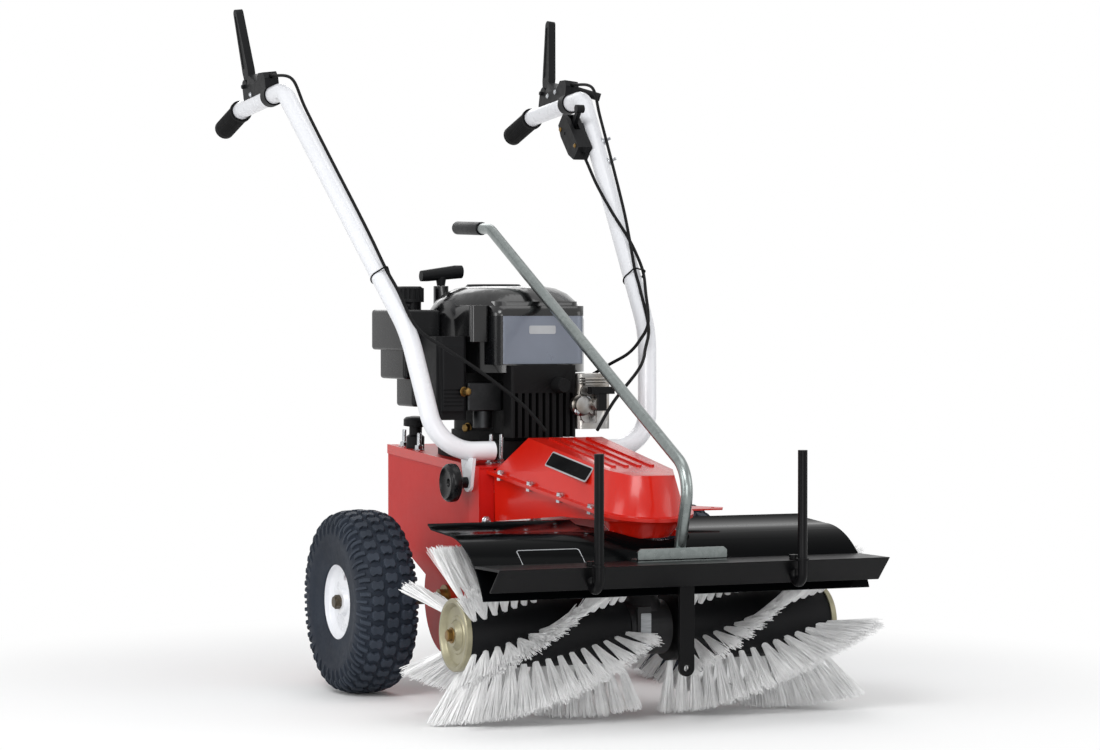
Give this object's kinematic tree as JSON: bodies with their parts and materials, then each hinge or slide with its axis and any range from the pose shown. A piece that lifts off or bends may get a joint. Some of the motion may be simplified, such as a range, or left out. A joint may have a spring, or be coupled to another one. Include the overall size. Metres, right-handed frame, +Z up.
{
  "type": "power brush sweeper",
  "caption": "Walk-behind power brush: engine over a wheeled chassis drives a swivelling horizontal bristle brush under a hood, steered by a tube handlebar with hand levers.",
  "frame": {"origin": "middle of the bounding box's floor face, under the machine", "axes": "+Z up, -Y towards the brush, +X to the operator's left"},
  "size_m": [0.7748, 1.503, 1.274],
  "materials": {
    "red_paint": "gloss red enamel",
    "black_paint": "gloss black enamel",
    "grey_paint": "metallic blue-grey paint",
    "white_paint": "gloss white enamel",
    "charcoal_paint": "satin charcoal paint",
    "zinc": "zinc-plated steel",
    "engine_casting": "black-painted cast aluminium",
    "cast_gearbox": "black-painted cast iron",
    "carb_metal": "cast aluminium",
    "black_plastic": "moulded black plastic",
    "gloss_black_plastic": "moulded gloss black plastic",
    "grip_rubber": "soft black rubber",
    "belt_rubber": "fabric-covered belt rubber",
    "tyre": "black tyre rubber",
    "bronze": "sintered bronze",
    "tan_cap": "yellow zinc plating",
    "nylon": "white nylon filament",
    "rope": "braided cord"
  },
  "bodies": {
    "chassis": {"chassis_frame": "red_paint", "lower_housing": "red_paint", "belt_cover": "red_paint", "cover_bolts": "zinc", "axle_bushes": "bronze", "wheel_gearbox": "engine_casting", "engine_block": "engine_casting", "cylinder_head": "engine_casting", "blower_housing": "black_paint", "engine_shroud": "grey_paint", "starter_screen": "black_plastic", "fuel_tank": "black_plastic", "air_filter": "black_plastic", "carburettor": "carb_metal", "muffler": "zinc", "muffler_guard": "zinc", "spark_plug": "grip_rubber", "starter_rope": "rope", "drive_belts": "belt_rubber", "clutch_cable_right": "grip_rubber", "clutch_cable_left": "grip_rubber", "throttle_cable": "grip_rubber"},
    "wheel_right": {"tyre_right": "tyre", "rim_right": "white_paint", "axle_right": "zinc"},
    "wheel_left": {"tyre_left": "tyre", "rim_left": "white_paint", "axle_left": "zinc"},
    "handlebar": {"handle_tube_right": "white_paint", "handle_tube_left": "white_paint", "tube_plugs": "black_plastic", "grips": "grip_rubber", "lever_brackets": "black_plastic", "throttle_box": "black_plastic"},
    "clamp_knob_right": {"knob_right": "black_plastic"},
    "clamp_knob_left": {"knob_left": "black_plastic"},
    "hand_lever_right": {"clutch_lever_right": "black_plastic"},
    "hand_lever_left": {"clutch_lever_left": "black_plastic"},
    "throttle": {"throttle_lever": "black_plastic"},
    "filler_cap": {"fuel_cap": "black_plastic"},
    "dipstick_cap": {"oil_cap": "black_plastic"},
    "recoil_handle": {"starter_handle": "black_plastic"},
    "crank_drive": {"crank_pulley": "zinc"},
    "wheel_drive": {"gearbox_pulley": "zinc"},
    "tensioner": {"belt_tensioner": "zinc"},
    "brush_head": {"gearbox": "cast_gearbox", "turret": "red_paint", "brush_hood": "black_paint", "bumper": "charcoal_paint", "hook_posts": "black_paint", "centre_post": "black_paint", "swivel_lever": "zinc", "lever_grip": "grip_rubber"},
    "brush_rotor": {"brush_shaft": "zinc", "brush_drums": "black_plastic", "drum_caps": "tan_cap", "bristles_right": "nylon", "bristles_left": "nylon"},
    "brush_drive": {"brush_pulley": "zinc"}
  },
  "joints": [
    {"name": "wheel_spin_right", "type": "hinge", "parent": "chassis", "child": "wheel_right", "pos_m": [0, 0, 0.165], "axis": [1, 0, 0], "continuous": true},
    {"name": "wheel_spin_left", "type": "hinge", "parent": "chassis", "child": "wheel_left", "pos_m": [0, 0, 0.165], "axis": [1, 0, 0], "continuous": true},
    {"name": "handlebar_tilt", "type": "hinge", "parent": "chassis", "child": "handlebar", "pos_m": [0, -0.113, 0.38], "axis": [1, 0, 0], "range_deg": [-5, 8], "deforming": ["clutch_cable_right", "clutch_cable_left", "throttle_cable"]},
    {"name": "knob_turn_right", "type": "hinge", "parent": "handlebar", "child": "clamp_knob_right", "pos_m": [0, -0.113, 0.38], "axis": [1, 0, 0], "continuous": true},
    {"name": "knob_turn_left", "type": "hinge", "parent": "handlebar", "child": "clamp_knob_left", "pos_m": [0, -0.113, 0.38], "axis": [1, 0, 0], "continuous": true},
    {"name": "wheel_lever_squeeze", "type": "hinge", "parent": "handlebar", "child": "hand_lever_right", "pos_m": [-0.31705, 0.5712, 1.12277], "axis": [-0.9936, -0.011, -0.1127], "range_deg": [0, 75], "stiffness_Nm_per_rad": 1.5, "springref_deg": -28.65},
    {"name": "brush_lever_squeeze", "type": "hinge", "parent": "handlebar", "child": "hand_lever_left", "pos_m": [0.31705, 0.5712, 1.12277], "axis": [-0.9936, 0.011, 0.1127], "range_deg": [0, 75], "stiffness_Nm_per_rad": 1.5, "springref_deg": -28.65},
    {"name": "throttle_set", "type": "hinge", "parent": "handlebar", "child": "throttle", "pos_m": [0.26422, 0.34476, 1.03199], "axis": [1, 0, 0], "range_deg": [-20, 20]},
    {"name": "fuel_cap_turn", "type": "hinge", "parent": "chassis", "child": "filler_cap", "pos_m": [-0.17, 0.115, 0.702], "axis": [0, 0, 1], "range_deg": [0, 120]},
    {"name": "oil_cap_turn", "type": "hinge", "parent": "chassis", "child": "dipstick_cap", "pos_m": [0.098, 0.128, 0.48], "axis": [0, 0, 1], "range_deg": [0, 120]},
    {"name": "starter_pull", "type": "slide", "parent": "chassis", "child": "recoil_handle", "axis": [0, 0, 1], "range_m": [0, 0.6], "stiffness_N_per_m": 15, "springref_m": -0.5, "deforming": ["starter_rope"]},
    {"name": "crank_spin", "type": "hinge", "parent": "chassis", "child": "crank_drive", "pos_m": [0, 0.062, 0.385], "axis": [0, 0, 1], "continuous": true},
    {"name": "wheel_drive_spin", "type": "hinge", "parent": "chassis", "child": "wheel_drive", "pos_m": [0, -0.075, 0.362], "axis": [0, 0, 1], "continuous": true},
    {"name": "tensioner_swing", "type": "hinge", "parent": "chassis", "child": "tensioner", "pos_m": [0.066, -0.3, 0.385], "axis": [0, 0, 1], "range_deg": [0, 5]},
    {"name": "brush_swivel", "type": "hinge", "parent": "chassis", "child": "brush_head", "pos_m": [0, -0.513, 0.34], "axis": [0, 0, 1], "range_deg": [-15, 15]},
    {"name": "brush_spin", "type": "hinge", "parent": "brush_head", "child": "brush_rotor", "pos_m": [0, -0.513, 0.15], "axis": [1, 0, 0], "continuous": true},
    {"name": "brush_drive_spin", "type": "hinge", "parent": "brush_head", "child": "brush_drive", "pos_m": [0, -0.513, 0.385], "axis": [0, 0, 1], "continuous": true}
  ],
  "couplings": [
    {"joint": "tensioner_swing", "follows": "brush_lever_squeeze", "ratio": 0.066},
    {"joint": "brush_drive_spin", "follows": "brush_spin", "ratio": 6}
  ]
}
